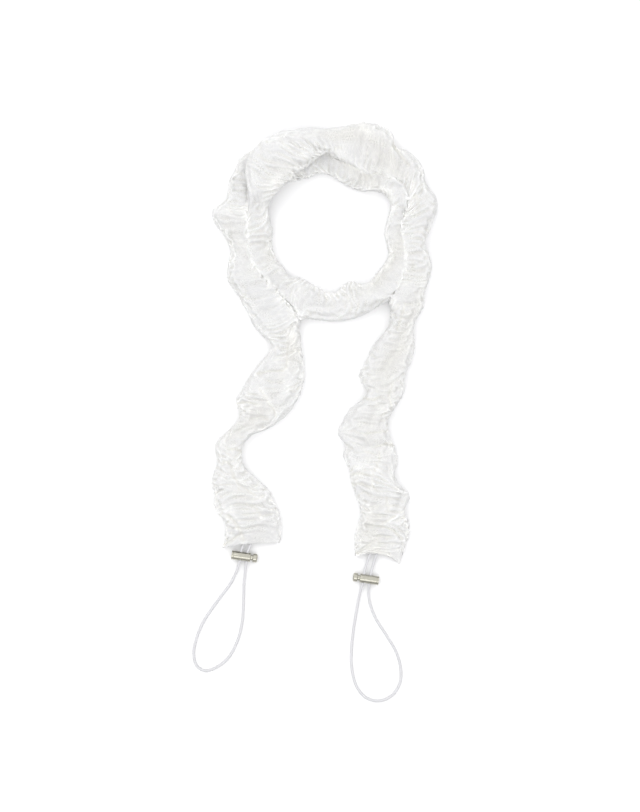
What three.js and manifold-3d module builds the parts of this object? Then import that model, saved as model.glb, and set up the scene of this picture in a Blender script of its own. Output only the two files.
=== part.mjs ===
// Pleated lace tube scarf, laid flat and wound once into a ring, with a drawcord lock at each end.
// Millimetres, +Z up. Origin: middle of the scarf's own outline, on the surface that it lies on.
import * as THREE from 'three';
import { LoftGeometry } from 'three/addons/geometries/LoftGeometry.js';
import { mergeVertices } from 'three/addons/utils/BufferGeometryUtils.js';
import Module from 'manifold-3d';

// Driving dimensions
const laceWall = 1.2;
const gatherPitch = 20;
const gatherDepth = 2.6;
const cordDiameter = 2.6;
const cordSpacing = 6.6;
const runSpacing = 4.4;
const fitGap = 0.3;
const barrelDiameter = 9;
const barrelLength = 19;
const boreDiameter = 6.2;
const stemDiameter = 5.6;
const knobDiameter = 8.8;
const knobLength = 4.8;
const neckLength = 2.4;
const plungerTravel = 1.8;

// The plan is measured right of and down from a corner; this is where the part's origin lies in it
const planOrigin = { x: 324.6, y: 353.9 };

// Small values that follow from the driving dimensions
const cordRadius = cordDiameter / 2;
const lockSides = 16;
const barrelRadius = barrelDiameter / 2;
const lockAxisHeight = barrelRadius * Math.cos( Math.PI / lockSides );
const cordRestHeight = cordRadius + 0.05;
const leadLength = 20;
const cordLean = 1.8;

// The lace tube, one row for each lobe, waist or turn, from the left end round the ring to the right
// end: where its outer and its inner edge lie in plan, how thick it is, and how far it is lifted.
// The rows with a lift are where the tube passes over itself.
const laceRows = [
	// outer x, outer y, inner x, inner y, rise, lift
	[ 222, 548, 279, 543, 9, 0 ],
	[ 226, 535, 281, 530, 12, 0 ],
	[ 227, 524, 280, 517, 14, 0 ],
	[ 215, 508, 274, 504, 16, 0 ],
	[ 215, 493, 268, 491, 17, 0 ],
	[ 213, 479, 257, 480, 18, 0 ],
	[ 217, 462, 245, 467, 17, 0 ],
	[ 215, 447, 242, 455, 16, 0 ],
	[ 221, 437, 244, 445, 16, 0 ],
	[ 230, 428, 253, 435, 16, 0 ],
	[ 238, 420, 268, 429, 17, 0 ],
	[ 239, 409, 283, 418, 18, 0 ],
	[ 237, 399, 294, 404, 19, 0 ],
	[ 242, 391, 301, 390, 19, 0 ],
	[ 250, 378, 304, 376, 18, 0 ],
	[ 260, 364, 303, 359, 17, 0 ],
	[ 271, 350, 301, 345, 16, 0 ],
	[ 270, 341, 300, 333, 16, 0 ],
	[ 261, 334, 296, 320, 17, 0 ],
	[ 252, 322, 288, 307, 17, 0 ],
	[ 246, 309, 279.5, 296.5, 17, 0 ],
	[ 238, 295, 269, 286, 17, 0 ],
	[ 228, 280, 258.5, 275.5, 17, 0 ],
	[ 228, 265, 252, 263.5, 16, 0 ],
	[ 230, 250, 248, 250.5, 16, 0 ],
	[ 224, 236, 246, 237.5, 16, 0 ],
	[ 215, 223, 245.3, 224, 16, 0 ],
	[ 213, 211, 245.3, 213, 16, 0 ],
	[ 226, 201, 246, 203, 15, 0 ],
	[ 228, 189, 246.5, 193, 13.5, 0 ],
	[ 231, 178, 250, 185, 12, 0 ],
	[ 239, 166, 259, 179, 10.6, 0 ],
	[ 250, 157, 269, 177, 10.3, 0 ],
	[ 263, 151, 280, 177, 10.3, 0 ],
	[ 279, 147, 291, 175.5, 10.3, 0 ],
	[ 296, 146, 304, 173, 10.3, 0 ],
	[ 313, 149, 316, 173, 10.3, 0 ],
	[ 328, 158, 327, 174, 11, 0 ],
	[ 339, 164, 337, 180, 14, 0 ],
	[ 351, 169, 349, 187, 15, 0 ],
	[ 363, 174, 361, 191.5, 15, 0 ],
	[ 377, 177, 373, 191, 15, 0 ],
	[ 390, 180, 382.5, 193.5, 16, 0 ],
	[ 400, 186, 387.5, 198, 16, 0 ],
	[ 404.5, 197, 390, 205.5, 16, 0 ],
	[ 404, 211, 389, 213.5, 16, 0 ],
	[ 402, 223, 386, 223, 16, 0 ],
	[ 401, 234, 384, 234, 16, 0 ],
	[ 402, 246, 386.5, 245, 16, 0 ],
	[ 403.5, 258, 388.5, 255, 16, 0 ],
	[ 402, 270, 384, 263.5, 16, 0 ],
	[ 397, 283, 377, 272.5, 17, 0 ],
	[ 389, 295, 371, 280.5, 17, 0 ],
	[ 379, 306, 360, 284, 16, 0 ],
	[ 365, 315, 350, 282, 16, 0 ],
	[ 349, 320, 342, 287.5, 16, 0 ],
	[ 335, 321, 334, 292, 15, 0 ],
	[ 321, 320, 325, 291.5, 15, 0 ],
	[ 309, 318, 316, 286, 15, 0 ],
	[ 299.5, 315, 306, 281, 16, 0 ],
	[ 291, 303, 298, 277.5, 16, 0 ],
	[ 281.5, 292.5, 290.5, 277, 16, 0 ],
	[ 271.5, 282.5, 284.5, 268, 16, 0 ],
	[ 261.5, 272, 277.5, 260, 16, 0 ],
	[ 255, 261, 274, 252, 16, 0 ],
	[ 250.5, 248, 272, 243, 16, 0 ],
	[ 248.5, 235, 272, 232, 16, 1 ],
	[ 247.7, 222, 269.5, 219, 16, 3 ],
	[ 248.5, 209, 268.5, 207, 15, 7 ],
	[ 249, 197, 273, 198, 14, 12.6 ],
	[ 247.5, 184, 279, 191, 14, 13.8 ],
	[ 246.5, 172, 286, 184, 14, 14 ],
	[ 248.5, 161, 293, 178, 14, 14 ],
	[ 255, 151, 299, 172, 14, 14 ],
	[ 264, 142, 305, 168, 14, 14 ],
	[ 276, 136, 312, 163, 14, 14 ],
	[ 291, 132, 319, 158, 14, 13.8 ],
	[ 308, 129, 326, 155, 15, 11 ],
	[ 323, 129.5, 333, 156, 16, 5 ],
	[ 337, 128, 342, 161, 17, 2 ],
	[ 351, 126, 352, 166, 18, 0 ],
	[ 365, 123, 363, 171, 18, 0 ],
	[ 380, 126, 375, 173.5, 18, 0 ],
	[ 391, 133, 385.5, 176, 18, 0 ],
	[ 394, 145, 394, 179, 18, 0 ],
	[ 406, 151, 402, 184, 18, 0 ],
	[ 416, 159, 406.5, 192, 18, 0 ],
	[ 422.5, 170, 407.5, 201, 18, 0 ],
	[ 425, 184, 407, 208.5, 18, 0 ],
	[ 434, 196, 405.5, 214, 18, 0 ],
	[ 436.5, 207, 404.7, 220, 18, 0 ],
	[ 433, 222, 403.8, 227, 18, 0 ],
	[ 429, 233, 403.5, 236, 17, 0 ],
	[ 425, 243, 405, 247, 17, 0 ],
	[ 429, 256, 405.7, 257, 17, 0 ],
	[ 431, 268, 405.2, 268, 17, 0 ],
	[ 428, 281, 402.5, 279, 17, 0 ],
	[ 424, 294, 396, 292, 17, 0 ],
	[ 422, 309, 391.5, 308, 17, 0 ],
	[ 415, 322, 390, 321, 17, 0 ],
	[ 413, 334, 383, 333, 17, 0 ],
	[ 414, 344, 374, 345, 17, 0 ],
	[ 412, 357, 367, 360, 17, 0 ],
	[ 407, 371, 360.5, 374, 17, 0 ],
	[ 404, 381, 363, 384, 17, 0 ],
	[ 404.5, 390, 367, 392, 17, 0 ],
	[ 399, 401, 361, 401, 17, 0 ],
	[ 392, 411, 350, 409, 18, 0 ],
	[ 387.5, 422, 343, 422, 18, 0 ],
	[ 390, 438, 339.5, 434, 18, 0 ],
	[ 395, 449, 347, 447, 17, 0 ],
	[ 397, 462, 343.5, 457, 17, 0 ],
	[ 394.5, 477, 350, 470, 17, 0 ],
	[ 402, 489, 352, 482, 17, 0 ],
	[ 409, 496, 356, 495, 17, 0 ],
	[ 404.5, 510, 361, 508, 17, 0 ],
	[ 408.5, 524, 360, 521, 17, 0 ],
	[ 408, 536, 356.5, 534, 14, 0 ],
	[ 404, 549, 356, 546, 12, 0 ],
	[ 400, 564, 355.5, 557, 9, 0 ],
];

// How far the middle of each cut end is drawn back by the cords
const endBow = { left: 2, right: 7 };

// The locks lie on their side. turn is the way that the button points, in degrees from +X.
const locks = {
	left: { x: 243.7, y: 556.7, turn: - 8.1 },
	right: { x: 366.7, y: 579.1, turn: 171.3 },
};

// Free cord loops below the locks, in plan: from the outer hole of the lock round to the inner one
const leftLoopPlan = [
	[ 237.5, 569 ], [ 234, 577 ], [ 229, 586 ], [ 223, 594 ], [ 212.5, 608 ], [ 202.5, 623.5 ],
	[ 196, 640 ], [ 193.5, 654 ], [ 196.3, 666 ], [ 205, 671.2 ], [ 216, 668 ], [ 228, 658.5 ],
	[ 237, 642 ], [ 242, 623 ], [ 243.4, 602 ], [ 243.8, 586 ], [ 245, 574 ],
];
const rightLoopPlan = [
	[ 359.6, 595 ], [ 357, 609 ], [ 353.6, 630 ], [ 351.6, 650 ], [ 351.8, 668 ], [ 355.8, 685 ],
	[ 365, 697.5 ], [ 378, 701.5 ], [ 391, 697 ], [ 399.6, 685 ], [ 401, 670 ], [ 396.5, 653 ],
	[ 387, 636.5 ], [ 377, 621 ], [ 371, 607 ], [ 368.8, 596 ],
];

const wasm = await Module();
wasm.setup();

// Small helpers for plan points, solids and cuts

const planPoint = ( x, y, z = 0 ) => new THREE.Vector3( x - planOrigin.x, planOrigin.y - y, z );

function positionsOnly( geometry ) {

	const bare = geometry.clone();
	bare.deleteAttribute( 'normal' );
	bare.deleteAttribute( 'uv' );
	return mergeVertices( bare, 1e-4 );

}

function toSolid( geometry ) {

	const merged = positionsOnly( geometry );
	return new wasm.Manifold( new wasm.Mesh( {
		numProp: 3,
		vertProperties: Float32Array.from( merged.attributes.position.array ),
		triVerts: Uint32Array.from( merged.index.array ),
	} ) );

}

function toGeometry( solid ) {

	const result = solid.getMesh();
	const geometry = new THREE.BufferGeometry();
	geometry.setAttribute( 'position', new THREE.BufferAttribute( result.vertProperties, 3 ) );
	geometry.setIndex( new THREE.BufferAttribute( result.triVerts, 1 ) );
	geometry.computeVertexNormals();
	return geometry;

}

// Materials, as the photo shows them

const laceCloth = new THREE.MeshStandardMaterial( { color: 0xf1f0ea, roughness: 0.95, metalness: 0 } );
const elasticCord = new THREE.MeshStandardMaterial( { color: 0xe8e8ea, roughness: 0.45, metalness: 0 } );
const nickelPlate = new THREE.MeshStandardMaterial( { color: 0xb8b5a5, roughness: 0.3, metalness: 1 } );

function namedMesh( name, geometry, material ) {

	const mesh = new THREE.Mesh( geometry, material );
	mesh.name = name;
	return mesh;

}

// Lace tube: the rows are smoothed into even sections, and every second section is a gather

function smoothRows() {

	const columns = laceRows.map( row => ( {
		outer: new THREE.Vector3( ...planPoint( row[ 0 ], row[ 1 ] ).toArray().slice( 0, 2 ), row[ 4 ] ),
		inner: new THREE.Vector3( ...planPoint( row[ 2 ], row[ 3 ] ).toArray().slice( 0, 2 ), row[ 5 ] ),
	} ) );
	const outerCurve = new THREE.CatmullRomCurve3( columns.map( c => c.outer ) );
	const innerCurve = new THREE.CatmullRomCurve3( columns.map( c => c.inner ) );
	const middle = t => outerCurve.getPoint( t ).add( innerCurve.getPoint( t ) ).multiplyScalar( 0.5 ).setZ( 0 );
	const fineSteps = laceRows.length * 6;
	const along = [ 0 ];
	for ( let i = 1; i <= fineSteps; i ++ ) {

		along.push( along[ i - 1 ] + middle( i / fineSteps ).distanceTo( middle( ( i - 1 ) / fineSteps ) ) );

	}

	const length = along[ fineSteps ];
	const count = 2 * Math.round( length / gatherPitch );
	return Array.from( { length: count + 1 }, ( _, k ) => {

		const target = length * k / count;
		let i = 1;
		while ( i < fineSteps && along[ i ] < target ) i ++;
		const part = ( target - along[ i - 1 ] ) / ( along[ i ] - along[ i - 1 ] );
		const t = ( i - 1 + part ) / fineSteps;
		return { outer: outerCurve.getPoint( t ), inner: innerCurve.getPoint( t ), share: k / count };

	} );

}

const sections = smoothRows();

// A unit section that lies on its flattened underside: across from -1 to 1, height from 0 to 1

const sectionPoints = 12;
const unitSection = Array.from( { length: sectionPoints }, ( _, j ) => {

	const turn = 2 * Math.PI * j / sectionPoints;
	const side = Math.sin( turn );
	const across = Math.sign( Math.cos( turn ) ) * Math.abs( Math.cos( turn ) ) ** 0.8;
	const height = side > 0 ? 0.42 + 0.58 * side ** 0.85 : 0.42 * ( 1 - Math.min( 1, - side * 1.7 ) );
	return { turn, across, height };

} );

function laceRing( section, index, inset, gatherShare ) {

	const last = sections.length - 1;
	const outer = section.outer.clone().setZ( 0 );
	const inner = section.inner.clone().setZ( 0 );
	const centre = outer.clone().add( inner ).multiplyScalar( 0.5 );
	const sideways = inner.clone().sub( outer ).multiplyScalar( 0.5 );
	const halfWidth = sideways.length();
	sideways.normalize();
	const travel = new THREE.Vector3( - sideways.y, sideways.x, 0 );
	const rise = section.outer.z;
	const lift = Math.max( 0, section.inner.z );
	const fade = Math.min( 1, index / 3, ( last - index ) / 3 );
	const gather = ( index % 2 ) * gatherDepth * gatherShare * fade;
	const bow = index === 0 ? endBow.left : index === last ? - endBow.right : 0;
	return unitSection.map( ( { turn, across, height } ) => {

		// a lengthwise crease wanders over the top of the tube
		const fromCrease = ( turn - Math.PI / 2 - 0.5 * Math.sin( index * 0.31 ) ) / 0.3;
		const crease = Math.exp( - fromCrease * fromCrease );
		const reach = halfWidth - inset + gather * 0.4;
		const top = rise - 2 * inset + ( gather - 2.2 * crease * fade ) * Math.max( 0, height - 0.42 ) / 0.58;
		const back = bow * ( 1 - across * across );
		return centre.clone()
			.addScaledVector( sideways, across * reach )
			.addScaledVector( travel, back )
			.setZ( lift + inset + height * top );

	} );

}

function laceTube() {

	const outerRings = sections.map( ( section, index ) => laceRing( section, index, 0, 1 ) );
	const innerRings = sections.map( ( section, index ) => laceRing( section, index, laceWall, 0.3 ) );
	const wall = new LoftGeometry( [ ...innerRings, ...outerRings.reverse(), innerRings[ 0 ] ] );
	return namedMesh( 'lace_tube', wall, laceCloth );

}

// Cords: a round section in a few sides, carried along a smooth route

function cordAlong( name, points, steps, sides ) {

	const section = new THREE.Shape( Array.from( { length: sides }, ( _, k ) => {

		const turn = Math.PI * ( 2 * k + 1 ) / sides;
		return new THREE.Vector2( cordRadius * Math.cos( turn ), cordRadius * Math.sin( turn ) );

	} ) );
	const route = new THREE.CatmullRomCurve3( points, false, 'centripetal' );
	const geometry = new THREE.ExtrudeGeometry( section, { steps, extrudePath: route } );
	return namedMesh( name, geometry, elasticCord );

}

// A point in a lock's own frame: along its axis, and across it towards the loop
function lockPoint( lock, along, towardsLoop, height = lockAxisHeight ) {

	const turn = THREE.MathUtils.degToRad( lock.turn );
	const axis = new THREE.Vector3( Math.cos( turn ), Math.sin( turn ), 0 );
	const down = new THREE.Vector3( axis.y, - axis.x, 0 );
	if ( down.y > 0 ) down.negate();
	return planPoint( lock.x, lock.y, height )
		.addScaledVector( axis, along )
		.addScaledVector( down, towardsLoop );

}

function cordLoop( name, lock, plan, outerSide, steps ) {

	const innerSide = - outerSide;
	const settle = [ 2.9, 1.9 ];
	const last = plan.length - 1;
	const lying = plan.map( ( [ x, y ], i ) => {

		const fromLock = Math.min( i, last - i );
		return planPoint( x, y, settle[ fromLock ] ?? cordRestHeight );

	} );
	return cordAlong( name, [
		lockPoint( lock, outerSide, fitGap / 2 ),
		lockPoint( lock, outerSide, barrelRadius ),
		...lying,
		lockPoint( lock, innerSide, barrelRadius ),
		lockPoint( lock, innerSide, fitGap / 2 ),
	], steps, 8 );

}

// The two runs inside the tube keep beside its middle line and close up towards the locks
function drawCord( name, side, leftHole, rightHole ) {

	const inset = 4;
	const middle = sections.map( ( { outer, inner } ) =>
		outer.clone().add( inner ).multiplyScalar( 0.5 ).setZ( Math.max( 0, inner.z ) + outer.z * 0.46 ) );
	const inside = middle.slice( inset, - inset ).map( ( point, k ) => {

		const travel = middle[ k + inset + 1 ].clone().sub( middle[ k + inset - 1 ] );
		const sideways = new THREE.Vector3( travel.y, - travel.x, 0 ).normalize();
		return point.clone().addScaledVector( sideways, side * runSpacing / 2 );

	} );

	return cordAlong( name, [
		lockPoint( locks.left, leftHole, - fitGap / 2 ),
		lockPoint( locks.left, leftHole, - barrelRadius - 1 ),
		lockPoint( locks.left, leftHole + cordLean, - leadLength ),
		...inside,
		lockPoint( locks.right, rightHole - cordLean, - leadLength ),
		lockPoint( locks.right, rightHole, - barrelRadius - 1 ),
		lockPoint( locks.right, rightHole, - fitGap / 2 ),
	], 79, 6 );

}

// Cord lock: a turned barrel with one slot for both cords, and a sprung button on a slotted stem.
// In the lock's frame X runs along the barrel towards the button, and the cords pass along Y.

const holeOffset = cordSpacing / 2;
const slotHeight = cordDiameter + 2 * fitGap;
const slotEnd = holeOffset + cordRadius + fitGap;
const slotSlack = 0.4;
const barrelMouth = slotEnd + plungerTravel;
const barrelFoot = barrelMouth - barrelLength;
const knobFoot = barrelMouth + neckLength;
const knobEnd = knobFoot + knobLength;

function turned( profile ) {

	const geometry = new THREE.LatheGeometry( profile.map( p => new THREE.Vector2( ...p ) ), lockSides );
	geometry.rotateY( Math.PI / lockSides );
	geometry.rotateZ( - Math.PI / 2 );
	return geometry;

}

function slotCutter( low, high ) {

	const half = slotHeight / 2;
	const outline = new THREE.Shape();
	outline.absarc( high - half, 0, half, - Math.PI / 2, Math.PI / 2 );
	outline.absarc( low + half, 0, half, Math.PI / 2, 3 * Math.PI / 2 );
	outline.closePath();
	const depth = barrelDiameter * 1.5;
	const cutter = new THREE.ExtrudeGeometry( outline, { depth, bevelEnabled: false, curveSegments: 5 } );
	cutter.translate( 0, 0, - depth / 2 );
	cutter.rotateX( Math.PI / 2 );
	return toSolid( cutter );

}

function lockBarrel() {

	const bevel = 0.6;
	const floor = 1.2;
	const groove = { from: barrelFoot + 2.2, to: barrelFoot + 3, depth: 0.35 };
	const bore = boreDiameter / 2;
	const solid = toSolid( turned( [
		[ 0, barrelFoot ],
		[ barrelRadius - bevel, barrelFoot ],
		[ barrelRadius, barrelFoot + bevel ],
		[ barrelRadius, groove.from ],
		[ barrelRadius - groove.depth, groove.from ],
		[ barrelRadius - groove.depth, groove.to ],
		[ barrelRadius, groove.to ],
		[ barrelRadius, barrelMouth - bevel ],
		[ barrelRadius - bevel, barrelMouth ],
		[ bore, barrelMouth ],
		[ bore, barrelFoot + floor ],
		[ 0, barrelFoot + floor ],
	] ) );
	return toGeometry( solid.subtract( slotCutter( - slotEnd - slotSlack, slotEnd + slotSlack ) ) );

}

function lockPlunger() {

	const stem = stemDiameter / 2;
	const knob = knobDiameter / 2;
	const bevel = 0.8;
	const stemFoot = - slotEnd - 3;
	const solid = toSolid( turned( [
		[ 0, stemFoot ],
		[ stem, stemFoot ],
		[ stem, knobFoot ],
		[ knob - bevel / 2, knobFoot ],
		[ knob, knobFoot + bevel / 2 ],
		[ knob, knobEnd - bevel ],
		[ knob - bevel, knobEnd ],
		[ 0, knobEnd ],
	] ) );
	return toGeometry( solid.subtract( slotCutter( - slotEnd, barrelMouth ) ) );

}

function cordLock( side, lock ) {

	const group = new THREE.Group();
	group.position.copy( planPoint( lock.x, lock.y, lockAxisHeight ) );
	group.rotation.z = THREE.MathUtils.degToRad( lock.turn );
	group.add( namedMesh( `lock_barrel_${ side }`, lockBarrel(), nickelPlate ) );
	group.add( namedMesh( `lock_plunger_${ side }`, lockPlunger(), nickelPlate ) );
	return group;

}

const scarf = new THREE.Group();
scarf.add( laceTube() );
scarf.add( drawCord( 'draw_cord_outer', - 1, - holeOffset, - holeOffset ) );
scarf.add( drawCord( 'draw_cord_inner', 1, holeOffset, holeOffset ) );
scarf.add( cordLoop( 'cord_loop_left', locks.left, leftLoopPlan, - holeOffset, 36 ) );
scarf.add( cordLoop( 'cord_loop_right', locks.right, rightLoopPlan, holeOffset, 40 ) );
scarf.add( cordLock( 'left', locks.left ) );
scarf.add( cordLock( 'right', locks.right ) );

export default scarf;
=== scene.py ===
import math
import bmesh
import bpy
import numpy as np
from mathutils import Matrix, Vector


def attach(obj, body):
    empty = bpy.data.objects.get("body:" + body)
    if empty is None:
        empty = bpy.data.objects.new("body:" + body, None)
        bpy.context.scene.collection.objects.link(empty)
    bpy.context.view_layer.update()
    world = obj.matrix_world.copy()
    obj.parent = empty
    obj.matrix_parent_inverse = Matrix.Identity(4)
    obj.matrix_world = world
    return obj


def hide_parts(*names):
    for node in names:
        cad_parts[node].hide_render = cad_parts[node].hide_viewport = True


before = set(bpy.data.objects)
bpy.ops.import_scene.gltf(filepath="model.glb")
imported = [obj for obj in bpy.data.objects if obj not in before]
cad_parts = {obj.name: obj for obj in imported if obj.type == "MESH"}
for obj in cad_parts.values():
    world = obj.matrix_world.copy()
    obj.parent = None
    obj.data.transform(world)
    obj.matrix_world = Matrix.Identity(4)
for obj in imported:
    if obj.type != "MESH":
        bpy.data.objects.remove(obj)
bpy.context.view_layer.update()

# Studio: a plain white table top seen from straight above. The white room gives most of the light and one
# large soft light stands at the upper left, so the shadows are faint. A weak strip draws a line on the metal.
MM = 0.001
VIEW_CENTRE = Vector((-4.6, -52.1, 0)) * MM
VIEW_HEIGHT = 812 * MM
CAMERA_DISTANCE = 3.0
SENSOR_HEIGHT = 24
SCARF_MID_HEIGHT = 7 * MM
BRIGHTEST_WAY = (0, 0.2, 1)
HORIZON, OVERHEAD = 0.02, 0.35
ROOM_STRENGTH = 1.3
WINDOW = {"size": 2.4, "power": 17, "place": (-1.8, 1.9, 3.0)}
STRIP = {"size": 3.0, "size_y": 0.5, "power": 10.5, "place": (0, -1.6, 2.9)}
TABLE_HALF = 3.0
TABLE_DROP = 0.1 * MM


def srgb(hex_colour, alpha=1.0):
    """An sRGB hex colour as linear red, green, blue and alpha."""
    channels = [int(hex_colour[i : i + 2], 16) / 255 for i in (1, 3, 5)]
    linear = [c / 12.92 if c <= 0.04045 else ((c + 0.055) / 1.055) ** 2.4 for c in channels]
    return (*linear, alpha)


def add_node(tree, kind, settings=None, inputs=None):
    """Add a node, set its properties, and set its inputs or link them to a socket or to a node's output."""
    node = tree.nodes.new(kind)
    for name, value in (settings or {}).items():
        setattr(node, name, value)
    for name, value in (inputs or {}).items():
        if isinstance(value, bpy.types.Node):
            value = value.outputs[0]
        if isinstance(value, bpy.types.NodeSocket):
            tree.links.new(value, node.inputs[name])
        else:
            node.inputs[name].default_value = value
    return node


def new_material(name):
    """An empty material and its output node."""
    material = bpy.data.materials.new(name)
    material.use_nodes = True
    material.node_tree.nodes.clear()
    output = add_node(material.node_tree, "ShaderNodeOutputMaterial")
    return material, material.node_tree, output


def place_mesh(name, bm, material, smooth=True):
    """Make the finished object from a bmesh, with its place in its mesh."""
    mesh = bpy.data.meshes.new(name)
    bm.to_mesh(mesh)
    bm.free()
    mesh.polygons.foreach_set("use_smooth", [smooth] * len(mesh.polygons))
    mesh.materials.append(material)
    piece = bpy.data.objects.new(name, mesh)
    bpy.context.scene.collection.objects.link(piece)
    return piece


camera_data = bpy.data.cameras.new("camera")
camera_data.sensor_fit = "VERTICAL"
camera_data.sensor_height = SENSOR_HEIGHT
camera_data.lens = (CAMERA_DISTANCE - SCARF_MID_HEIGHT) * camera_data.sensor_height / VIEW_HEIGHT
camera_data.clip_end = 20
camera = bpy.data.objects.new("camera", camera_data)
camera.location = VIEW_CENTRE + Vector((0, 0, CAMERA_DISTANCE))
bpy.context.scene.collection.objects.link(camera)
bpy.context.scene.camera = camera

world = bpy.data.worlds.new("white room")
world.use_nodes = True
room = world.node_tree
towards = add_node(room, "ShaderNodeTexCoord").outputs["Generated"]
towards_light = add_node(
    room, "ShaderNodeVectorMath", {"operation": "DOT_PRODUCT"}, {0: towards, 1: BRIGHTEST_WAY}
)
height_tone = add_node(room, "ShaderNodeValToRGB", None, {"Fac": towards_light.outputs["Value"]})
height_tone.color_ramp.elements[0].position = HORIZON
height_tone.color_ramp.elements[0].color = srgb("#565551")
height_tone.color_ramp.elements[1].position = OVERHEAD
height_tone.color_ramp.elements[1].color = srgb("#f7f7f8")
room.links.new(height_tone.outputs["Color"], room.nodes["Background"].inputs["Color"])
room.nodes["Background"].inputs["Strength"].default_value = ROOM_STRENGTH
bpy.context.scene.world = world

for name, settings in (("window", WINDOW), ("strip", STRIP)):
    light_data = bpy.data.lights.new(name, "AREA")
    light_data.shape = "RECTANGLE" if "size_y" in settings else "SQUARE"
    light_data.size = settings["size"]
    light_data.size_y = settings.get("size_y", settings["size"])
    light_data.energy = settings["power"]
    light = bpy.data.objects.new(name, light_data)
    light.location = VIEW_CENTRE + Vector(settings["place"])
    light.rotation_euler = (VIEW_CENTRE - light.location).to_track_quat("-Z", "Y").to_euler()
    bpy.context.scene.collection.objects.link(light)

bpy.context.scene.view_settings.view_transform = "Standard"

table_paint, tree, output = new_material("matt white laminate")
shader = add_node(tree, "ShaderNodeBsdfPrincipled", None, {"Base Color": srgb("#fbfbfb"), "Roughness": 0.7})
tree.links.new(shader.outputs["BSDF"], output.inputs["Surface"])
bm = bmesh.new()
just_under = Matrix.Translation((0, 0, -TABLE_DROP))
bmesh.ops.create_grid(bm, x_segments=1, y_segments=1, size=TABLE_HALF, matrix=just_under)
table_top = place_mesh("table_top", bm, table_paint, smooth=False)

# Cord loops: the scarf is gathered on one endless elastic cord, a rubber core in a fine white knitted sleeve.
# A loop of it comes out of each lock and lies on the table.
PLAN_ORIGIN = (324.6, 353.9)
CORD_DIAMETER = 2.6 * MM
CORD_SPACING = 6.6 * MM
BARREL_DIAMETER = 9 * MM
LOCK_AXIS_HEIGHT = BARREL_DIAMETER / 2 * math.cos(math.pi / 16)
CORD_REST_HEIGHT = CORD_DIAMETER / 2 + 0.05 * MM
KNIT_SPACING = 0.7 * MM
SHADE_HEIGHTS = (1.2 * MM, 2.4 * MM)
FIT_GAP = 0.3 * MM
LOCKS = {
    "left": {"plan": (243.7, 556.7), "turn": math.radians(-8.1), "outer_hole": -CORD_SPACING / 2},
    "right": {"plan": (366.7, 579.1), "turn": math.radians(171.3), "outer_hole": CORD_SPACING / 2},
}
LOOPS = {
    "left": [
        (237.5, 569), (234, 577), (229, 586), (223, 594), (212.5, 608), (202.5, 623.5),
        (196, 640), (193.5, 654), (196.3, 666), (205, 671.2), (216, 668), (228, 658.5),
        (237, 642), (242, 623), (243.4, 602), (243.8, 586), (245, 574),
    ],
    "right": [
        (359.6, 595), (357, 609), (353.6, 630), (351.6, 650), (351.8, 668), (355.8, 685),
        (365, 697.5), (378, 701.5), (391, 697), (399.6, 685), (401, 670), (396.5, 653),
        (387, 636.5), (377, 621), (371, 607), (368.8, 596),
    ],
}
SETTLING_HEIGHTS = (2.9 * MM, 1.9 * MM)


def plan_point(x, y, height=0.0):
    """A point of the plan, in millimetres right of and below its corner, as a place in the frame."""
    return Vector(((x - PLAN_ORIGIN[0]) * MM, (PLAN_ORIGIN[1] - y) * MM, height))


def lock_point(lock, along, towards_loop, height=LOCK_AXIS_HEIGHT):
    """A point in a lock's own frame: along its axis to the button, and across it towards the loop."""
    axis = Vector((math.cos(lock["turn"]), math.sin(lock["turn"]), 0))
    across = Vector((axis.y, -axis.x, 0))
    if across.y > 0:
        across.negate()
    return plan_point(*lock["plan"], height) + axis * along + across * towards_loop


def smooth_route(points, per_span):
    """A smooth curve through the points, sampled evenly in each span."""
    padded = [points[0] * 2 - points[1], *points, points[-1] * 2 - points[-2]]
    route = []
    for a, b, c, d in zip(padded, padded[1:], padded[2:], padded[3:]):
        bend = 2 * a - 5 * b + 4 * c - d
        twist = 3 * b - a - 3 * c + d
        for k in range(per_span):
            t = k / per_span
            route.append(0.5 * (2 * b + (c - a) * t + bend * t**2 + twist * t**3))
    return [*route, points[-1]]


def cord_curve(name, route, material):
    """A round cord as one open curve with closed ends."""
    data = bpy.data.curves.new(name, "CURVE")
    data.dimensions = "3D"
    spline = data.splines.new("POLY")
    spline.points.add(len(route) - 1)
    for point, place in zip(spline.points, route):
        point.co = (*place, 1)
    spline.use_smooth = True
    data.bevel_depth = CORD_DIAMETER / 2
    data.bevel_resolution = 5
    data.use_fill_caps = True
    data.materials.append(material)
    cord = bpy.data.objects.new(name, data)
    bpy.context.scene.collection.objects.link(cord)
    return cord


# Knitted elastic: milky and slightly see-through, with painted shade that makes the sides of the round darker
# than its top
elastic, tree, output = new_material("milky knitted elastic")
place = add_node(tree, "ShaderNodeTexCoord").outputs["Object"]
knit = add_node(tree, "ShaderNodeTexVoronoi", None, {"Vector": place, "Scale": 1 / KNIT_SPACING})
relief = add_node(tree, "ShaderNodeBump", None, {"Height": knit, "Strength": 0.25, "Distance": 0.1 * MM})
# Painted shade: the cord's colour is darker low on its round and lighter higher up, by height above the table
above_table = add_node(tree, "ShaderNodeSeparateXYZ", None, {0: place}).outputs["Z"]
low, high = SHADE_HEIGHTS
up_the_round = add_node(tree, "ShaderNodeMapRange", None, {0: above_table, 1: low, 2: high})
shade = add_node(tree, "ShaderNodeValToRGB", None, {"Fac": up_the_round})
shade.color_ramp.elements[0].color = srgb("#b9b9bb")
shade.color_ramp.elements[1].color = srgb("#d1d1d3")
shader = add_node(
    tree,
    "ShaderNodeBsdfPrincipled",
    None,
    {
        "Base Color": shade,
        "Roughness": 0.38,
        "Subsurface Weight": 0.4,
        "Subsurface Scale": 0.6 * MM,
        "Subsurface Radius": (1.0, 1.0, 1.0),
        "Normal": relief,
    },
)
tree.links.new(shader.outputs["BSDF"], output.inputs["Surface"])

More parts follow.
